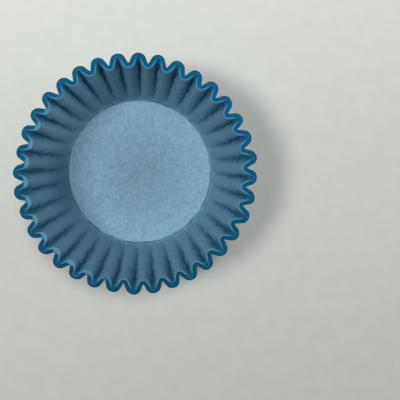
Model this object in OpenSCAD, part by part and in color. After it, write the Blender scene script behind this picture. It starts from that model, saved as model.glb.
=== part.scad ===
// Pleated paper liner for a cupcake, standing open on its flat round base.
// Millimetres, +Z up, origin at the centre of the underside of the base.
// The wall is swept as level rings of points. Each ring follows the line of the outer crests,
// and the folds reach inwards from that line.

/* [Base] */
// Diameter of the base, where the lines of its underside and of the wall meet
base_d = 51.5; // [40:0.5:60]
// Radius of the bend from the base into the wall, on the outside
bend_r = 1.5; // [1:0.5:4]

/* [Wall] */
// Diameter of the rim, across the outer crests
rim_d = 77.5; // [66:0.5:90]
// Height of the rim
wall_h = 29; // [20:1:40]

/* [Pleats] */
// Number of pleats round the wall
pleat_count = 36; // [28:1:42]
// Depth of a pleat at the rim, from the outer crest to the bottom of the fold, measured level
pleat_depth = 3.2; // [1.5:0.1:4]
// Radius inside a crest, on the inner face of the paper
crest_r = 0.5; // [0.2:0.05:0.8]
// Radius at the bottom of a fold, on the outer face of the paper
fold_r = 0.2; // [0.15:0.05:0.5]
// Height of the points where the folds begin
plain_h = 2.5; // [2:0.5:6]

/* [Paper] */
// Thickness of the base and the plain wall
base_t = 0.6; // [0.3:0.1:0.9]
// Width of the band that the pressed pleats show at the rim, measured level
rim_t = 1.6; // [0.6:0.1:1.8]

/* [Hidden] */

// The line of the outer crests: flat base, bend, straight leaning wall
lean = (rim_d - base_d) / 2;
wall_angle = atan2(wall_h, lean);
flat_r = base_d / 2 - bend_r * tan(wall_angle / 2);
plain_t = base_t / sin(wall_angle);

// How finely the rings are laid out
bend_steps = 3;
pleat_steps = 4;
flat_points = 1;
plain_points = 4;
pleat_points = 12;
half_points = pleat_points / 2;
arc_points = 2;

// A ring holds: radius and height of the crest line, the direction through the paper,
// its thickness, the depth of the pleats, the number of points in each pleat
function radius_of(ring) = ring[0];
function height_of(ring) = ring[1];
function normal_of(ring) = ring[2];
function thickness_of(ring) = ring[3];
function depth_of(ring) = ring[4];
function points_of(ring) = ring[5];

// A ring on the flat base, at a fraction of its radius
function flat_ring(part) = [flat_r * part, 0, -90, base_t, 0, flat_points];

// A ring on the bend, at a fraction of its turn
function bend_ring(part) = let (normal = -90 + wall_angle * part)
    [flat_r + bend_r * cos(normal), bend_r + bend_r * sin(normal), normal, base_t, 0, plain_points];

// A ring on the wall, at a fraction of the way from the points of the folds to the rim
function wall_ring(part) = let (height = plain_h + (wall_h - plain_h) * part) [
    base_d / 2 + height / tan(wall_angle),
    height,
    0,
    plain_t + (rim_t - plain_t) * part,
    pleat_depth * part,
    part == 0 ? plain_points : pleat_points
];

rings = [
    flat_ring(1 / 2),
    for (i = [0 : bend_steps]) bend_ring(i / bend_steps),
    for (i = [0 : pleat_steps]) wall_ring(i / pleat_steps)
];
last = len(rings) - 1;

// The middle of the paper runs round each crest and each fold in an arc, joined by straight flanks.
// Half a pleat's width, at the middle of its depth
function half_width(ring) =
    PI / pleat_count * (radius_of(ring) - (thickness_of(ring) + depth_of(ring)) / 2);

// Turn of each arc, for which two arcs and a flank fill half a pleat, from the sum of the arcs' radii
function arc_turn(half_w, depth, both_r) =
    atan2(depth - both_r, half_w) + asin(both_r / norm([half_w, depth - both_r]));

// Where an arc of radius r has come to after a turn: along the wall, and through it
function on_arc(r, turn) = [r * sin(turn), r * (1 - cos(turn))];

// A point on one side of the paper, counted from a crest to the next fold:
// its share of half the pleat's width, and its distance from the crest line
function half_pleat(ring, k, side) = let (
    half_w = half_width(ring),
    half_t = thickness_of(ring) / 2,
    crest = crest_r + half_t,
    fold = fold_r + half_t,
    full_turn = arc_turn(half_w, depth_of(ring), crest + fold),
    turn = full_turn * min(k, half_points - k, arc_points) / arc_points,
    round_fold = [half_w, depth_of(ring)],
    middle = k == half_points / 2
        ? (on_arc(crest, turn) + round_fold - on_arc(fold, turn)) / 2
        : k < half_points / 2 ? on_arc(crest, turn) : round_fold - on_arc(fold, turn)
) [
    (middle[0] + side * half_t * sin(turn)) / half_w,
    side * half_t * cos(turn) - half_t - middle[1]
];

// A point in the frame of the part, from its ring, its turn round the axis and its distance
// off the crest line
function place(ring, angle, off) = let (r = radius_of(ring) + off * cos(normal_of(ring)))
    [r * cos(angle), r * sin(angle), height_of(ring) + off * sin(normal_of(ring))];

// The points of a ring without pleats, counted anticlockwise from above, the first on the X axis
function plain_ring_points(ring, side) = [
    for (i = [0 : pleat_count * points_of(ring) - 1])
        place(ring, 360 * i / (pleat_count * points_of(ring)), (side - 1) * thickness_of(ring) / 2)
];

// The points of a pleated ring, counted anticlockwise from above, with a crest on the X axis
function pleated_ring_points(ring, side) = [
    for (i = [0 : pleat_count - 1], k = [0 : pleat_points - 1]) let (
        rising = k > half_points,
        point = half_pleat(ring, rising ? pleat_points - k : k, side),
        pleats = rising ? i + 1 - point[0] / 2 : i + point[0] / 2
    ) place(ring, 360 * pleats / pleat_count, point[1])
];

// All points of one side of the paper, from the middle of the base to the rim
function side_points(side) = [
    [0, 0, base_t * (1 - side) / 2],
    for (ring = rings)
        each depth_of(ring) > 0 ? pleated_ring_points(ring, side) : plain_ring_points(ring, side)
];

// Place of a ring's first point in its side's list
function ring_start(i) = i == 0 ? 1 : ring_start(i - 1) + pleat_count * points_of(rings[i - 1]);
side_size = ring_start(last + 1);

// Triangles between point i of a ring and the next point, up to the ring above it, which may be finer.
// Where the finer ring has an odd share, the middle triangle changes sides at each step.
function step_faces(low, i, low_n, high, high_n) = let (
    ratio = high_n / low_n,
    half = floor(ratio / 2) + (ratio % 2) * (1 - i % 2),
    a = low + i,
    b = low + (i + 1) % low_n,
    first = i * ratio
) [
    if (half > 0)
        for (k = [0 : half - 1]) [a, high + first + k, high + (first + k + 1) % high_n],
    [a, high + (first + half) % high_n, b],
    if (ratio > half)
        for (k = [half : ratio - 1]) [b, high + first + k, high + (first + k + 1) % high_n]
];

// Triangles of one side of the paper, seen clockwise from the outside
side_faces = let (first_n = pleat_count * points_of(rings[0])) [
    for (i = [0 : first_n - 1]) [0, 1 + i, 1 + (i + 1) % first_n],
    for (j = [0 : last - 1]) let (
        low_n = pleat_count * points_of(rings[j]),
        high_n = pleat_count * points_of(rings[j + 1])
    )
        for (i = [0 : low_n - 1]) each step_faces(ring_start(j), i, low_n, ring_start(j + 1), high_n)
];

// The same triangles on the inside, turned round and counted on from the outside's points
inner_faces = [for (f = side_faces) [side_size + f[2], side_size + f[1], side_size + f[0]]];

// The narrow edge of the paper at the rim
rim_faces = let (
    rim_n = pleat_count * pleat_points,
    outer = ring_start(last),
    inner = side_size + outer
) [
    for (i = [0 : rim_n - 1]) let (next = (i + 1) % rim_n) each [
        [outer + next, outer + i, inner + i],
        [outer + next, inner + i, inner + next]
    ]
];

module liner() {
    color([0.25, 0.52, 0.66])
        polyhedron(
            points = concat(side_points(1), side_points(-1)),
            faces = concat(side_faces, inner_faces, rim_faces),
            convexity = 10
        );
}

liner();
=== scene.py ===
"""A pleated paper liner for a cupcake, standing open on its flat round base.

Metres, +Z up, origin at the centre of the underside of the base. One pleat is modelled point by
point, both faces and the cut edge, and a geometry node tree repeats it round the base and then
makes the pressed paper uneven.
"""
import math

import bpy
import numpy as np
from mathutils import Matrix, Vector


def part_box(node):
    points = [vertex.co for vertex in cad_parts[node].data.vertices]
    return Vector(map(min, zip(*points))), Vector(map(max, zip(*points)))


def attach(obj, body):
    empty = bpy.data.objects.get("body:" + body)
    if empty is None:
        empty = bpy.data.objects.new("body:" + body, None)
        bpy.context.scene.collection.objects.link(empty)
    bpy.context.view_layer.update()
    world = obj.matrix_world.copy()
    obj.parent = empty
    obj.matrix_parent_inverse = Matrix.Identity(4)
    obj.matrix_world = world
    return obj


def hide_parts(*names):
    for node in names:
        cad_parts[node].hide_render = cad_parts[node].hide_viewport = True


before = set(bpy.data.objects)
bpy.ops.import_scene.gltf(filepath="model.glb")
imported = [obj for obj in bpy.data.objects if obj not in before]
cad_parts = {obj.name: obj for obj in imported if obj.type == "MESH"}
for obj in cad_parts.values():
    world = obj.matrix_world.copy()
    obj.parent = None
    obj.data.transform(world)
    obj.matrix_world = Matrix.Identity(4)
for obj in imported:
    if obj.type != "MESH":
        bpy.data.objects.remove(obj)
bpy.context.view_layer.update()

MM = 0.001

# The line of the outer crests: flat base, bend, straight leaning wall. The folds begin at PLAIN_H
# outside and at CREASE_H inside.
RIM_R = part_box("liner")[1][0]
BASE_R = 25.75 * MM
BEND_R = 1.5 * MM
WALL_H = 29 * MM
PLAIN_H = 2.5 * MM
CREASE_H = 1.4 * MM
WALL_ANGLE = math.atan2(WALL_H, RIM_R - BASE_R)
FLAT_R = BASE_R - BEND_R * math.tan(WALL_ANGLE / 2)

# The pleats and the paper, measured level, as the rim shows them from above
PLEATS = 36
PLEAT_DEPTH = 3.2 * MM
CREST_R = 0.5 * MM
FOLD_R = 0.2 * MM
BASE_T = 0.6 * MM
RIM_T = 1.6 * MM
EDGE_ROUND = 0.22 * MM

# Number of fine lines along the cut edge, counted across it
EDGE_LINES = 2.2

# The one seed of everything that is uneven
SEED = 7

# Azimuths where the pleats lie closest together, the edge is painted lit, the folds are palest, the
# inner wall is painted lighter as painted light and its foot is painted in shade
TIGHT_SIDE = 250
LIT_EDGE_SIDE = 85
PALE_SIDE = 195
LIT_WALL_SIDE = 138
SHADED_FOOT_SIDE = 188


# One pleat, from the bottom of a fold to the next, with its crest on the X axis

LOBE_STEPS = 6
FLANK_STEPS = 2
NOTCH_STEPS = 4
HALF_STEPS = LOBE_STEPS + FLANK_STEPS + NOTCH_STEPS
FLAT_RINGS = 5
BEND_RINGS = 5
OUTER_RINGS = 30
INNER_RINGS = 46
EDGE_RINGS = 9

# Share of the wall's height that the top of the bend counts as
BEND_SHARE = 0.03

# Numbers of the finishes
OUTER, INNER, EDGE = 0, 1, 2


def arc_turn(width, depth, both_r):
    """Turn of two arcs, radii both_r in all, that fill a width and a depth with a straight flank."""
    rise = depth - both_r
    return math.atan2(rise, width) + math.asin(min(1, both_r / math.hypot(width, rise)))


def half_lobe(half_w, groove_w, depth, lobe_r, notch_r, arch):
    """Half a lobe and the groove beside it: distances along the wall, and depths."""
    depth -= arch
    turn = arc_turn(groove_w, depth, lobe_r + notch_r)
    part = np.arange(LOBE_STEPS + 1) / LOBE_STEPS
    lobe = np.stack([
        (half_w - groove_w) * part + lobe_r * np.sin(turn * part), lobe_r * (1 - np.cos(turn * part))
    ], axis=1)
    part = np.arange(NOTCH_STEPS, -1, -1) / NOTCH_STEPS
    notch = np.stack([
        half_w - notch_r * np.sin(turn * part), depth - notch_r * (1 - np.cos(turn * part))
    ], axis=1)
    part = np.arange(1, FLANK_STEPS)[:, None] / FLANK_STEPS
    flank = lobe[-1] * (1 - part) + notch[0] * part
    contour = np.vstack([lobe, flank, notch])
    contour[:, 1] += arch * (contour[:, 0] / half_w) ** 2
    return contour


def fold_begin(side):
    """Height where the folds of a face begin, 1 for the outer face and -1 for the inner one."""
    return PLAIN_H if side > 0 else CREASE_H


def half_wall(height, side):
    """Half a pleat at a height, crest to fold: shares of its width, depths, grooves."""
    radius = BASE_R + height / math.tan(WALL_ANGLE)
    pleated = max(0, (height - PLAIN_H) / (WALL_H - PLAIN_H))
    thick = (BASE_T + (RIM_T - BASE_T) * pleated) / math.sin(WALL_ANGLE)
    depth = PLEAT_DEPTH * pleated ** 0.85
    begin = fold_begin(side)
    part = (height - begin) / (WALL_H - begin)
    if part <= 0:
        share = np.arange(HALF_STEPS + 1) / HALF_STEPS
        return share, np.full(HALF_STEPS + 1, thick if side < 0 else 0.0), np.zeros(HALF_STEPS + 1)
    half_w = math.pi / PLEATS * (radius - (thick + depth) / 2)
    open_part = part ** 7
    if side > 0:
        # Outside, the grooves start as points and widen until the crests are round at the rim
        groove_w = half_w * (0.18 + 0.76 * part ** 0.7)
        lobe_r = min(CREST_R + RIM_T, 0.78 * groove_w)
        arch = 0.5 * depth * (1 - open_part)
        contour = half_lobe(half_w, groove_w, depth, lobe_r, FOLD_R * part ** 0.5, arch)
        return contour[:, 0] / half_w, contour[:, 1], contour[:, 1] / PLEAT_DEPTH
    # Inside, the folds are broad and arched, and the crests are creases that open at the rim
    groove_w = half_w * (0.42 + 0.12 * part + 0.4 * open_part)
    lobe_r = min(FOLD_R + RIM_T, 0.62 * groove_w)
    notch_r = CREST_R * (0.4 * part ** 0.5 + 0.6 * open_part)
    crease = min(PLEAT_DEPTH * (0.92 * part ** 0.66 + 0.08 * open_part), thick + depth - 0.4 * BASE_T)
    arch = 0.8 * crease * (1 - open_part)
    contour = half_lobe(half_w, groove_w, crease, lobe_r, notch_r, arch)[::-1]
    return 1 - contour[:, 0] / half_w, thick + depth - contour[:, 1], contour[:, 1] / PLEAT_DEPTH


def plain_station(radius, height, normal, side):
    """Half a pleat's width of wall without pleats, on the outer face or the inner one."""
    angle = np.arange(HALF_STEPS + 1) / HALF_STEPS * math.pi / PLEATS
    inwards = BASE_T if side < 0 else 0
    r = radius - inwards * math.cos(normal)
    z = np.full_like(angle, height - inwards * math.sin(normal))
    return np.stack([r * np.cos(angle), r * np.sin(angle), z], axis=1)


def face_stations(side, wall_rings):
    """Stations of one face from the base to the rim: points, share of the height, depth of crease."""
    found = []
    flat = np.zeros(HALF_STEPS + 1)
    for i in range(1, FLAT_RINGS + 1):
        found.append((plain_station(FLAT_R * i / FLAT_RINGS, 0, -math.pi / 2, side), 0.0, flat))
    for i in range(1, BEND_RINGS + 1):
        turn = WALL_ANGLE * i / BEND_RINGS
        normal = turn - math.pi / 2
        radius, height = FLAT_R + BEND_R * math.cos(normal), BEND_R + BEND_R * math.sin(normal)
        found.append((plain_station(radius, height, normal, side), BEND_SHARE * i / BEND_RINGS, flat))
    begin = fold_begin(side)
    for i in range(wall_rings + 1):
        height = begin + (WALL_H - begin) * i / wall_rings
        share, depth, deep = half_wall(height, side)
        r = BASE_R + height / math.tan(WALL_ANGLE) - depth
        angle = share * math.pi / PLEATS
        points = np.stack([r * np.cos(angle), r * np.sin(angle), np.full_like(r, height)], axis=1)
        found.append((points, height / WALL_H, deep))
    return found


def edge_stations(outer_rim, inner_rim):
    """Stations over the cut edge at the rim, from the outer face to the inner one, rounded at both."""
    found = []
    for i in range(1, EDGE_RINGS):
        across = 0.5 - 0.5 * math.cos(math.pi * i / EDGE_RINGS)
        near = min(across, 1 - across) * RIM_T
        from_corner = max(0, EDGE_ROUND - near)
        lift = math.sqrt(EDGE_ROUND ** 2 - from_corner ** 2)
        found.append((outer_rim * (1 - across) + inner_rim * across + [0, 0, lift], across))
    return found


def pleat_mesh():
    """The mesh of one pleat: a strip of stations from the middle underneath to the middle inside."""
    outer = face_stations(1, OUTER_RINGS)
    inner = face_stations(-1, INNER_RINGS)
    edge = edge_stations(outer[-1][0], inner[-1][0])
    rings = [(p, up, deep, 0.0) for p, up, deep in outer]
    rings += [(p, 1.0, np.zeros(HALF_STEPS + 1), across) for p, across in edge]
    rings += [(p, up, deep, 1.0) for p, up, deep in reversed(inner)]
    columns = 2 * HALF_STEPS + 1
    points, up_wall, crease, ply, inset = [], [], [], [], []
    for p, up, deep, across in rings:
        mirrored = p[:0:-1] * [1, -1, 1]
        points.append(np.vstack([mirrored, p]))
        crease.append(np.concatenate([deep[:0:-1], deep]))
        inset.append((RIM_R - np.hypot(points[-1][:, 0], points[-1][:, 1])) / (PLEAT_DEPTH + RIM_T))
        up_wall.append(np.full(columns, up))
        ply.append(np.full(columns, across))
    points = np.vstack(points + [[[0, 0, 0], [0, 0, BASE_T]]])
    centre_out, centre_in = len(points) - 2, len(points) - 1
    faces, finish = [], []
    first_edge, last_edge = len(outer) - 1, len(outer) + len(edge)
    for j in range(len(rings) - 1):
        kind = OUTER if j < first_edge else EDGE if j < last_edge else INNER
        for i in range(columns - 1):
            a = j * columns + i
            faces.append((a, a + 1, a + columns + 1, a + columns))
            finish.append(kind)
    top = (len(rings) - 1) * columns
    for i in range(columns - 1):
        faces.append((centre_out, i + 1, i))
        finish.append(OUTER)
        faces.append((centre_in, top + i, top + i + 1))
        finish.append(INNER)
    mesh = bpy.data.meshes.new("one_pleat")
    mesh.from_pydata(points.tolist(), [], faces)
    for name, values in (("up_wall", up_wall), ("crease", crease), ("ply", ply), ("inset", inset)):
        values = np.concatenate(values + [[0.0, 1.0 if name == "ply" else 0.0]])
        mesh.attributes.new(name, "FLOAT", "POINT").data.foreach_set("value", values)
    mesh.attributes.new("finish", "INT", "FACE").data.foreach_set("value", finish)
    return mesh


# Node trees

def add_node(tree, kind, inputs=None, **settings):
    """A node with its settings, its inputs linked to sockets or set to values."""
    node = tree.nodes.new(kind)
    for name, value in settings.items():
        setattr(node, name, value)
    for key, value in (inputs or {}).items():
        if isinstance(value, bpy.types.NodeSocket):
            tree.links.new(value, node.inputs[key])
        else:
            node.inputs[key].default_value = value
    return node


def scalar(tree, operation, *values):
    """A Math node's result."""
    return add_node(tree, "ShaderNodeMath", dict(enumerate(values)), operation=operation).outputs[0]


def product(tree, *values):
    """Several values multiplied."""
    result = values[0]
    for value in values[1:]:
        result = scalar(tree, "MULTIPLY", result, value)
    return result


def vector(tree, operation, *values, scale=None):
    """A Vector Math node's result."""
    inputs = dict(enumerate(values))
    if scale is not None:
        inputs["Scale"] = scale
    return add_node(tree, "ShaderNodeVectorMath", inputs, operation=operation).outputs[0]


def remap(tree, value, low, high, to_low=0.0, to_high=1.0):
    """A value moved from one range to another, and held there."""
    return add_node(
        tree, "ShaderNodeMapRange",
        {"Value": value, "From Min": low, "From Max": high, "To Min": to_low, "To Max": to_high},
    ).outputs[0]


def new_input(tree, name, kind, value=None, low=None):
    """A named input of a tree or a group."""
    socket = tree.interface.new_socket(name=name, in_out="INPUT", socket_type=kind)
    if value is not None:
        socket.default_value = value
    if low is not None:
        socket.min_value = low
    return socket


def named_value(tree, name, data_type="FLOAT"):
    """A named attribute of the mesh."""
    node = add_node(tree, "GeometryNodeInputNamedAttribute", {"Name": name}, data_type=data_type)
    return node.outputs["Attribute"]


def facing(tree, outward, azimuth):
    """How well a level direction points to an azimuth, from -1 to 1."""
    towards = (math.cos(math.radians(azimuth)), math.sin(math.radians(azimuth)), 0)
    node = add_node(tree, "ShaderNodeVectorMath", {0: outward, 1: towards}, operation="DOT_PRODUCT")
    return node.outputs["Value"]


def centred_noise(tree, place, seed, scale, detail):
    """Noise as a vector that swings about zero."""
    noise = add_node(
        tree, "ShaderNodeTexNoise",
        {"Vector": place, "W": seed, "Scale": scale, "Detail": detail, "Roughness": 0.5},
        noise_dimensions="4D",
    )
    return vector(tree, "SUBTRACT", noise.outputs["Color"], (0.5, 0.5, 0.5))


def plain_noise(tree, place, scale, detail):
    """Noise as one number."""
    inputs = {"Vector": place, "Scale": scale, "Detail": detail}
    return add_node(tree, "ShaderNodeTexNoise", inputs).outputs[0]


def pleating_tree(outer_paper, inner_paper, cut_edge):
    """Repeats one pleat round the Z axis, joins the copies and makes the pressed paper uneven."""
    tree = bpy.data.node_groups.new("Pleated wall", "GeometryNodeTree")
    new_input(tree, "Pleat", "NodeSocketGeometry")
    new_input(tree, "Pleats", "NodeSocketInt", PLEATS, 3)
    new_input(tree, "Seed", "NodeSocketInt", SEED, 0)
    for name in ("Drift", "Sway", "Swell", "Roundness", "Crumple", "Filling"):
        new_input(tree, name, "NodeSocketFloat", 1 * MM, 0)
    tree.interface.new_socket(name="Liner", in_out="OUTPUT", socket_type="NodeSocketGeometry")
    given = tree.nodes.new("NodeGroupInput").outputs

    # Copies of the pleat, turned to their places
    points = add_node(tree, "GeometryNodePoints", {"Count": given["Pleats"]})
    index = add_node(tree, "GeometryNodeInputIndex").outputs[0]
    turn = scalar(tree, "DIVIDE", scalar(tree, "MULTIPLY", index, 2 * math.pi), given["Pleats"])
    euler = add_node(tree, "ShaderNodeCombineXYZ", {"Z": turn}).outputs[0]
    rotation = add_node(tree, "FunctionNodeEulerToRotation", {0: euler}).outputs[0]
    copies = add_node(
        tree, "GeometryNodeInstanceOnPoints",
        {"Points": points.outputs[0], "Instance": given["Pleat"], "Rotation": rotation},
    )
    real = add_node(tree, "GeometryNodeRealizeInstances", {0: copies.outputs[0]})
    joined = add_node(
        tree, "GeometryNodeMergeByDistance", {"Geometry": real.outputs[0], "Distance": 0.004 * MM}
    )

    # Directions at each point: out from the axis, and round it
    place = add_node(tree, "GeometryNodeInputPosition").outputs[0]
    flat = vector(tree, "MULTIPLY", place, (1, 1, 0))
    outward = vector(tree, "NORMALIZE", flat)
    around = vector(tree, "CROSS_PRODUCT", (0, 0, 1), outward)
    up_wall = named_value(tree, "up_wall")
    height = vector(tree, "MULTIPLY", place, (0, 0, 1))

    def pushed(noise, across, out):
        """A noise vector turned into a push round the axis and a push out from it."""
        parts = add_node(tree, "ShaderNodeSeparateXYZ", {0: noise}).outputs
        sideways = vector(tree, "SCALE", around, scale=scalar(tree, "MULTIPLY", parts[0], across))
        outwards = vector(tree, "SCALE", outward, scale=scalar(tree, "MULTIPLY", parts[1], out))
        return vector(tree, "ADD", sideways, outwards)

    # Pleats sway sideways and differ in depth, more so towards the rim
    pleat_place = vector(tree, "ADD", outward, vector(tree, "SCALE", height, scale=6.0))
    pleat_noise = centred_noise(tree, pleat_place, given["Seed"], scale=5.5, detail=1.0)
    sway = scalar(tree, "MULTIPLY", given["Sway"], up_wall)
    swell = scalar(tree, "MULTIPLY", given["Swell"], up_wall)
    shift = pushed(pleat_noise, sway, swell)

    # On one side of the rim the pleats lie a little wider apart than on the other
    side = facing(tree, outward, TIGHT_SIDE)
    drift = product(tree, side, given["Drift"], up_wall)
    shift = vector(tree, "ADD", shift, vector(tree, "SCALE", around, scale=drift))

    # The whole wall is a little out of round
    round_noise = centred_noise(tree, outward, given["Seed"], scale=0.8, detail=0.0)
    out_of_round = scalar(tree, "MULTIPLY", given["Roundness"], up_wall)
    shift = vector(tree, "ADD", shift, pushed(round_noise, 0.0, out_of_round))

    # On one side the slits inside are shallower, but not at the rim
    crease, ply = named_value(tree, "crease"), named_value(tree, "ply")
    filled_side = remap(tree, facing(tree, outward, PALE_SIDE), -0.1, 0.7)
    below_rim = remap(tree, up_wall, 1.0, 0.85)
    filling = product(tree, filled_side, below_rim, crease, ply, given["Filling"], -1.0)
    shift = vector(tree, "ADD", shift, vector(tree, "SCALE", outward, scale=filling))

    # Small kinks, strongest in the slits inside and weaker at the rim
    kink_noise = centred_noise(tree, place, given["Seed"], scale=380.0, detail=2.0)
    kinked = remap(tree, product(tree, crease, ply), 0.06, 0.45, 0.05, 0.8)
    less_at_rim = remap(tree, up_wall, 0.82, 1.0, 1.0, 0.25)
    kink = product(tree, given["Crumple"], kinked, less_at_rim, scalar(tree, "SQRT", up_wall))
    shift = vector(tree, "ADD", shift, pushed(kink_noise, kink, kink))

    moved = add_node(tree, "GeometryNodeSetPosition", {"Geometry": joined.outputs[0], "Offset": shift})

    # Finishes of the two faces and of the cut edge
    finish = named_value(tree, "finish", "INT")
    geometry = moved.outputs[0]
    for kind, material in ((OUTER, outer_paper), (INNER, inner_paper), (EDGE, cut_edge)):
        chosen = add_node(tree, "FunctionNodeCompare", data_type="INT", operation="EQUAL")
        tree.links.new(finish, chosen.inputs[2])
        chosen.inputs[3].default_value = kind
        geometry = add_node(
            tree, "GeometryNodeSetMaterial",
            {"Geometry": geometry, "Selection": chosen.outputs[0], "Material": material},
        ).outputs[0]
    out = tree.nodes.new("NodeGroupOutput")
    tree.links.new(geometry, out.inputs[0])
    return tree


def set_inputs(modifier, values):
    """Sets a modifier's named inputs by their sockets' identifiers."""
    for item in modifier.node_group.interface.items_tree:
        if item.item_type == "SOCKET" and item.name in values:
            modifier[item.identifier] = values[item.name]


def plain_mesh_object(source, name):
    """The evaluated source as a plain mesh object, with the source removed."""
    evaluated = source.evaluated_get(bpy.context.evaluated_depsgraph_get())
    mesh = bpy.data.meshes.new_from_object(evaluated)
    mesh.name = name
    result = bpy.data.objects.new(name, mesh)
    bpy.context.scene.collection.objects.link(result)
    bpy.data.objects.remove(source)
    return result


# Finishes

# Colours as they look in plain light, from 0 to 255. Two tones are the darkest and the lightest.
# Some of these colours hold painted light or shade, as said where they are used
CREST_HIGHLIGHT_TONES = (78, 141, 172), (100, 163, 192)
FLANK_TONES = (50, 126, 164), (70, 148, 184)
FOLD_SHADE_COLOUR = 0, 92, 138
DISC_LIT_MARGIN_TONES = (104, 142, 164), (134, 172, 194)
DISC_MIDDLE_TONES = (90, 126, 147), (120, 156, 176)
WALL_TONES = (91, 137, 161), (113, 157, 179)
LIT_WALL_COLOUR = 124, 164, 186
CREASE_SHADE_COLOUR = 66, 106, 130
FOOT_SHADE_COLOUR = 62, 106, 130
SLIT_SHADE_COLOUR = 44, 104, 138
LIT_EDGE_TONES = (0, 68, 104), (2, 106, 156)
LIT_EDGE_SPOTS = 0, 104, 134
SHADED_EDGE_TONES = (0, 52, 74), (12, 84, 114)
CREST_SHADE = 4, 62, 92
HIGHLIGHT_AND_PALE_EDGE_TONES = (76, 126, 154), (98, 152, 178)
LIT_TABLE_TONES = (214, 217, 210), (224, 227, 220)
SHADED_TABLE_TONES = (172, 173, 168), (182, 183, 178)
ROOM_COLOUR = 214, 216, 212


def paper_grain_group():
    """Cloudy paper with fine fibres: a mask for its colour and a height for its bump."""
    group = bpy.data.node_groups.new("Paper grain", "ShaderNodeTree")
    for name in ("Cloud size", "Fibre size", "Fibre share"):
        new_input(group, name, "NodeSocketFloat")
    group.interface.new_socket(name="Mask", in_out="OUTPUT", socket_type="NodeSocketFloat")
    group.interface.new_socket(name="Height", in_out="OUTPUT", socket_type="NodeSocketFloat")
    given = group.nodes.new("NodeGroupInput").outputs
    place = add_node(group, "ShaderNodeTexCoord").outputs["Object"]
    clouds = add_node(
        group, "ShaderNodeTexNoise",
        {"Vector": place, "Scale": given["Cloud size"], "Detail": 3.0, "Roughness": 0.6},
    ).outputs[0]
    fibres = add_node(
        group, "ShaderNodeTexNoise",
        {
            "Vector": place, "Scale": given["Fibre size"],
            "Detail": 2.0, "Roughness": 0.7, "Distortion": 1.5,
        },
    ).outputs[0]
    mask = add_node(
        group, "ShaderNodeMix", {"Factor": given["Fibre share"], "A": clouds, "B": fibres},
        data_type="FLOAT",
    ).outputs[0]
    out = group.nodes.new("NodeGroupOutput")
    group.links.new(mask, out.inputs["Mask"])
    group.links.new(fibres, out.inputs["Height"])
    return group


def colour_mix(tree, factor, a, b):
    """A colour between a and b."""
    node = tree.nodes.new("ShaderNodeMix")
    node.data_type = "RGBA"
    for socket, value in ((node.inputs["Factor"], factor), (node.inputs[6], a), (node.inputs[7], b)):
        if isinstance(value, bpy.types.NodeSocket):
            tree.links.new(value, socket)
        else:
            socket.default_value = value
    return node.outputs[2]


def start_material(name):
    """A new material, its node tree and its shader."""
    material = bpy.data.materials.new(name)
    material.use_nodes = True
    tree = material.node_tree
    return material, tree, tree.nodes["Principled BSDF"]


def linear(colour):
    """A colour as it looks, 0 to 255, as a linear one."""
    shares = [value / 255 for value in colour]
    return (*(s / 12.92 if s <= 0.04045 else ((s + 0.055) / 1.055) ** 2.4 for s in shares), 1.0)


def between_tones(tree, factor, tones):
    """A colour between the darkest tone and the lightest."""
    return colour_mix(tree, factor, linear(tones[0]), linear(tones[1]))


def paper_grain(tree, grain, cloud_size, fibre_size, fibre_share):
    """The grain's mask and height, with a finish's own sizes."""
    sizes = {"Cloud size": cloud_size, "Fibre size": fibre_size, "Fibre share": fibre_share}
    given = add_node(tree, "ShaderNodeGroup", sizes, node_tree=grain)
    return given.outputs["Mask"], given.outputs["Height"]


def place_on_paper(tree):
    """A point's place, and the level line to it from the axis."""
    place = add_node(tree, "ShaderNodeTexCoord").outputs["Object"]
    return place, vector(tree, "MULTIPLY", place, (1, 1, 0))


def finish_paper(tree, shader, colour, mask, height):
    """Matt paper with a soft tooth, duller where the grain is dark."""
    tree.links.new(colour, shader.inputs["Base Color"])
    tree.links.new(remap(tree, mask, 0, 1, 0.66, 0.54), shader.inputs["Roughness"])
    bump = add_node(tree, "ShaderNodeBump", {"Height": height, "Distance": 0.06 * MM, "Strength": 0.5})
    tree.links.new(bump.outputs[0], shader.inputs["Normal"])
    shader.inputs["Specular IOR Level"].default_value = 0.25


def mesh_value(tree, name):
    """A value that the pleats carry."""
    return add_node(tree, "ShaderNodeAttribute", attribute_name=name).outputs["Fac"]


def outer_finish(grain):
    """The outside: bright blue crests with a painted highlight, and painted shade down in the folds."""
    material, tree, shader = start_material("Blue paper outside")
    mask, height = paper_grain(tree, grain, cloud_size=800.0, fibre_size=2400.0, fibre_share=0.4)
    mask = remap(tree, mask, 0.34, 0.66)
    # The crests are painted paler than the flanks, as a painted highlight
    crest = between_tones(tree, mask, CREST_HIGHLIGHT_TONES)
    flank = between_tones(tree, mask, FLANK_TONES)
    crease = mesh_value(tree, "crease")
    colour = colour_mix(tree, remap(tree, crease, 0.02, 0.2), crest, flank)
    # Painted shade darkens the folds, the deeper the darker
    colour = colour_mix(tree, remap(tree, crease, 0.15, 0.8), colour, linear(FOLD_SHADE_COLOUR))
    finish_paper(tree, shader, colour, mask, height)
    return material


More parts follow.
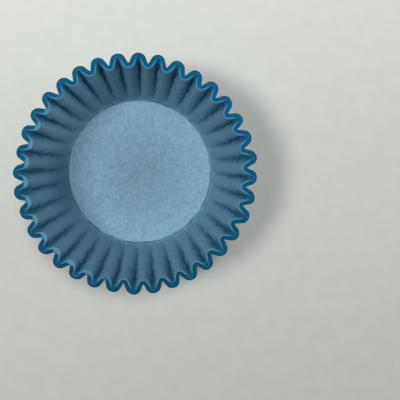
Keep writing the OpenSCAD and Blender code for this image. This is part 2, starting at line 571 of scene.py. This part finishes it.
def inner_finish(grain):
    """The inside: a pale disc painted lighter at its margin, broken painted shade round it, and a darker
    wall with painted shade in its slits.
    """
    material, tree, shader = start_material("Blue paper inside")
    mask, height = paper_grain(tree, grain, cloud_size=900.0, fibre_size=2600.0, fibre_share=0.4)
    mask = remap(tree, mask, 0.34, 0.66)
    place, from_axis = place_on_paper(tree)
    outward = vector(tree, "NORMALIZE", from_axis)
    distance = add_node(
        tree, "ShaderNodeVectorMath", {0: from_axis}, operation="LENGTH"
    ).outputs["Value"]
    # The disc is painted lighter towards its margin than in its middle: painted light
    middle = between_tones(tree, mask, DISC_MIDDLE_TONES)
    disc = between_tones(tree, mask, DISC_LIT_MARGIN_TONES)
    disc = colour_mix(tree, remap(tree, distance, 2 * MM, 20 * MM), middle, disc)
    wall = between_tones(tree, mask, WALL_TONES)
    # One side of the inner wall is painted lighter: painted light
    lit_wall = remap(tree, facing(tree, outward, LIT_WALL_SIDE), 0.84, 0.98)
    wall = colour_mix(tree, lit_wall, wall, linear(LIT_WALL_COLOUR))

    # Where the disc ends, in a slightly wavy line, and a broken line of painted shade in the crease
    # pressed into the paper there
    up_wall = mesh_value(tree, "up_wall")
    waves = plain_noise(tree, place, scale=450.0, detail=1.0)
    reach = remap(tree, up_wall, 0.0, 0.01, 0.0, 0.04)
    height_up = scalar(tree, "MULTIPLY_ADD", scalar(tree, "SUBTRACT", waves, 0.5), reach, up_wall)
    on_wall = remap(tree, height_up, 0.008, 0.016)
    colour = colour_mix(tree, on_wall, disc, wall)
    strength = plain_noise(tree, place, scale=170.0, detail=1.0)
    pressed = product(
        tree, remap(tree, height_up, 0.007, 0.014), remap(tree, height_up, 0.05, 0.02),
        remap(tree, strength, 0.38, 0.62),
    )
    colour = colour_mix(tree, pressed, colour, linear(CREASE_SHADE_COLOUR))

    # Painted shade darkens the foot of one side of the wall, and down in the slits
    dark_side = remap(tree, facing(tree, outward, SHADED_FOOT_SIDE), 0.88, 0.99, 0.0, 0.6)
    foot = product(tree, on_wall, remap(tree, height_up, 0.62, 0.3), dark_side)
    colour = colour_mix(tree, foot, colour, linear(FOOT_SHADE_COLOUR))
    deep = remap(tree, mesh_value(tree, "crease"), 0.08, 0.7)
    colour = colour_mix(tree, deep, colour, linear(SLIT_SHADE_COLOUR))
    finish_paper(tree, shader, colour, mask, height)
    return material


def edge_finish(grain):
    """The cut edge: strong dye with fine lines, painted lit on one side, and a pale inner lip of painted
    highlight, broad on one side.
    """
    material, tree, shader = start_material("Cut edge")
    mask, _ = paper_grain(tree, grain, cloud_size=1400.0, fibre_size=3200.0, fibre_share=0.6)
    ply, inset = mesh_value(tree, "ply"), mesh_value(tree, "inset")
    lines = scalar(tree, "SINE", scalar(tree, "MULTIPLY_ADD", ply, 2 * math.pi * EDGE_LINES, 3.6))
    place, from_axis = place_on_paper(tree)
    outward = vector(tree, "NORMALIZE", from_axis)
    uneven = plain_noise(tree, place, scale=420.0, detail=2.0)
    lines = scalar(tree, "MULTIPLY", lines, remap(tree, uneven, 0.35, 0.6, 0.3, 1.0))
    lined = remap(tree, lines, -1, 1)
    # One side of the edge is painted lit and the other shaded: painted light and shade
    lit_edge = between_tones(tree, lined, LIT_EDGE_TONES)
    spots = remap(tree, uneven, 0.5, 0.68, 0.0, 0.7)
    lit_edge = colour_mix(tree, spots, lit_edge, linear(LIT_EDGE_SPOTS))
    shaded_edge = between_tones(tree, lined, SHADED_EDGE_TONES)
    colour = colour_mix(tree, remap(tree, facing(tree, outward, LIT_EDGE_SIDE), -1, 0.7), shaded_edge, lit_edge)

    # A pale line of painted highlight runs from the middle of each crest to the lip of the folds,
    # painted shade inside it
    pale_fold_side = remap(tree, facing(tree, outward, PALE_SIDE), 0.36, 0.7)
    past_line = scalar(tree, "SUBTRACT", ply, scalar(tree, "MULTIPLY_ADD", inset, 0.7, 0.42))
    near_crest = remap(tree, inset, 0.5, 0.3)
    shade = scalar(tree, "MULTIPLY", remap(tree, past_line, 0.05, 0.2), near_crest)
    colour = colour_mix(tree, shade, colour, linear(CREST_SHADE))
    line = product(
        tree, remap(tree, scalar(tree, "ABSOLUTE", past_line), 0.12, 0.02), near_crest,
        remap(tree, pale_fold_side, 0, 1, 0.35, 0.6), remap(tree, uneven, 0.62, 0.4),
    )
    # A painted highlight on the inner lip, and on one side the folds are painted pale all over
    lip = scalar(tree, "MULTIPLY", remap(tree, ply, 0.62, 0.9), remap(tree, inset, 0.3, 0.6))
    pale_folds = scalar(tree, "MULTIPLY", pale_fold_side, remap(tree, inset, 0.66, 0.76))
    pale = scalar(tree, "MAXIMUM", line, scalar(tree, "MAXIMUM", lip, pale_folds))
    colour = colour_mix(tree, pale, colour, between_tones(tree, lined, HIGHLIGHT_AND_PALE_EDGE_TONES))

    tree.links.new(colour, shader.inputs["Base Color"])
    tree.links.new(remap(tree, mask, 0.3, 0.7, 0.6, 0.5), shader.inputs["Roughness"])
    bump = add_node(tree, "ShaderNodeBump", {"Height": lines, "Distance": 0.04 * MM, "Strength": 0.6})
    tree.links.new(bump.outputs[0], shader.inputs["Normal"])
    shader.inputs["Specular IOR Level"].default_value = 0.02
    return material


grain = paper_grain_group()
outer_paper = outer_finish(grain)
inner_paper = inner_finish(grain)
cut_edge = edge_finish(grain)


# The liner

def make_liner():
    """The whole liner as one closed mesh."""
    source = bpy.data.objects.new("pleat_source", pleat_mesh())
    bpy.context.scene.collection.objects.link(source)
    modifier = source.modifiers.new("Pleated wall", "NODES")
    modifier.node_group = pleating_tree(outer_paper, inner_paper, cut_edge)
    set_inputs(modifier, {
        "Pleats": PLEATS,
        "Seed": SEED,
        "Drift": 0.65 * MM,
        "Sway": 1.0 * MM,
        "Swell": 1.2 * MM,
        "Roundness": 3.0 * MM,
        "Crumple": 3.4 * MM,
        "Filling": 0.4 * MM,
    })
    return plain_mesh_object(source, "pleated_liner")


liner = make_liner()
liner.data.shade_smooth()
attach(liner, "root")
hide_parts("liner")


# Floor, light and camera

ROOM_LEVEL = 0.12
TABLE_REACH = 3.0


def make_floor():
    """A pale table, painted greyer towards the front as painted fall-off of light and painted shade."""
    material, tree, shader = start_material("Pale table")
    place = add_node(tree, "ShaderNodeTexCoord").outputs["Object"]
    specks = plain_noise(tree, place, scale=180.0, detail=3.0)
    pale = between_tones(tree, specks, LIT_TABLE_TONES)
    shaded_table = between_tones(tree, specks, SHADED_TABLE_TONES)
    parts = add_node(tree, "ShaderNodeSeparateXYZ", {0: place}).outputs
    # The table is painted darker towards the front: painted fall-off of light and painted shade
    towards_back = scalar(tree, "MULTIPLY_ADD", parts[0], -0.28, parts[1])
    table_light = scalar(tree, "POWER", remap(tree, towards_back, -0.12, 0.07), 1.35)
    colour = colour_mix(tree, table_light, shaded_table, pale)
    tree.links.new(colour, shader.inputs["Base Color"])
    shader.inputs["Roughness"].default_value = 0.7
    mesh = bpy.data.meshes.new("table_top")
    corners = [(TABLE_REACH * x, TABLE_REACH * y, 0) for x, y in ((-1, -1), (1, -1), (1, 1), (-1, 1))]
    mesh.from_pydata(corners, [], [(0, 1, 2, 3)])
    mesh.materials.append(material)
    floor = bpy.data.objects.new("table_top", mesh)
    bpy.context.scene.collection.objects.link(floor)


def make_lamp(name, azimuth, elevation, width, level):
    """A far lamp, width degrees wide. Its level is the share of a flat floor's colour that it shows."""
    around, up = math.radians(azimuth), math.radians(elevation)
    towards = Vector((math.cos(around) * math.cos(up), math.sin(around) * math.cos(up), math.sin(up)))
    data = bpy.data.lights.new(name, "SUN")
    data.angle = math.radians(width)
    data.energy = level * math.pi / towards.z
    lamp = bpy.data.objects.new(name, data)
    lamp.matrix_world = towards.to_track_quat("Z", "Y").to_matrix().to_4x4()
    bpy.context.scene.collection.objects.link(lamp)


def make_world():
    """Weak even light, and a pale background where the world itself is seen."""
    world = bpy.data.worlds.new("Pale room")
    bpy.context.scene.world = world
    world.use_nodes = True
    tree = world.node_tree
    light = tree.nodes["Background"]
    light.inputs["Color"].default_value = (1, 1, 1, 1)
    light.inputs["Strength"].default_value = ROOM_LEVEL
    seen = add_node(tree, "ShaderNodeBackground", {"Color": linear(ROOM_COLOUR), "Strength": 1.0})
    path = add_node(tree, "ShaderNodeLightPath").outputs
    shown = scalar(tree, "MAXIMUM", path["Is Glossy Ray"], path["Is Transmission Ray"])
    shown = scalar(tree, "MAXIMUM", path["Is Camera Ray"], shown)
    mix = add_node(tree, "ShaderNodeMixShader", {0: shown, 1: light.outputs[0], 2: seen.outputs[0]})
    tree.links.new(mix.outputs[0], tree.nodes["World Output"].inputs["Surface"])


# The photograph's camera looks down at the table from 27 cm. Its picture is turned against the
# liner by a little, because a crest lies on the X axis here.
PICTURE_TURN = math.radians(1.4)
EYE = (17.5 * MM, 7.3 * MM, 268.3 * MM)
AIM = (21.6 * MM, -10.2 * MM, 0)
FOCAL_PIXELS = 747
PICTURE_PIXELS = 400


def make_camera():
    """The camera at EYE, looking at AIM, with the picture's top towards +Y before its small turn."""
    data = bpy.data.cameras.new("camera")
    data.lens = data.sensor_width * FOCAL_PIXELS / PICTURE_PIXELS
    data.clip_start = 0.01
    turn = Matrix.Rotation(PICTURE_TURN, 4, "Z")
    eye = Vector(EYE)
    back = (eye - Vector(AIM)).normalized()
    right = Vector((0, 1, 0)).cross(back).normalized()
    up = back.cross(right)
    placed = Matrix((right, up, back)).transposed().to_4x4()
    placed.translation = eye
    camera = bpy.data.objects.new("camera", data)
    camera.matrix_world = turn @ placed
    bpy.context.scene.collection.objects.link(camera)
    bpy.context.scene.camera = camera


make_floor()
make_world()
make_lamp("window", azimuth=180, elevation=63, width=16, level=0.41)
make_lamp("ceiling", azimuth=62, elevation=75, width=14, level=0.43)
make_lamp("pale_wall", azimuth=0, elevation=15, width=30, level=0.034)
make_camera()
bpy.context.scene.view_settings.view_transform = "Standard"
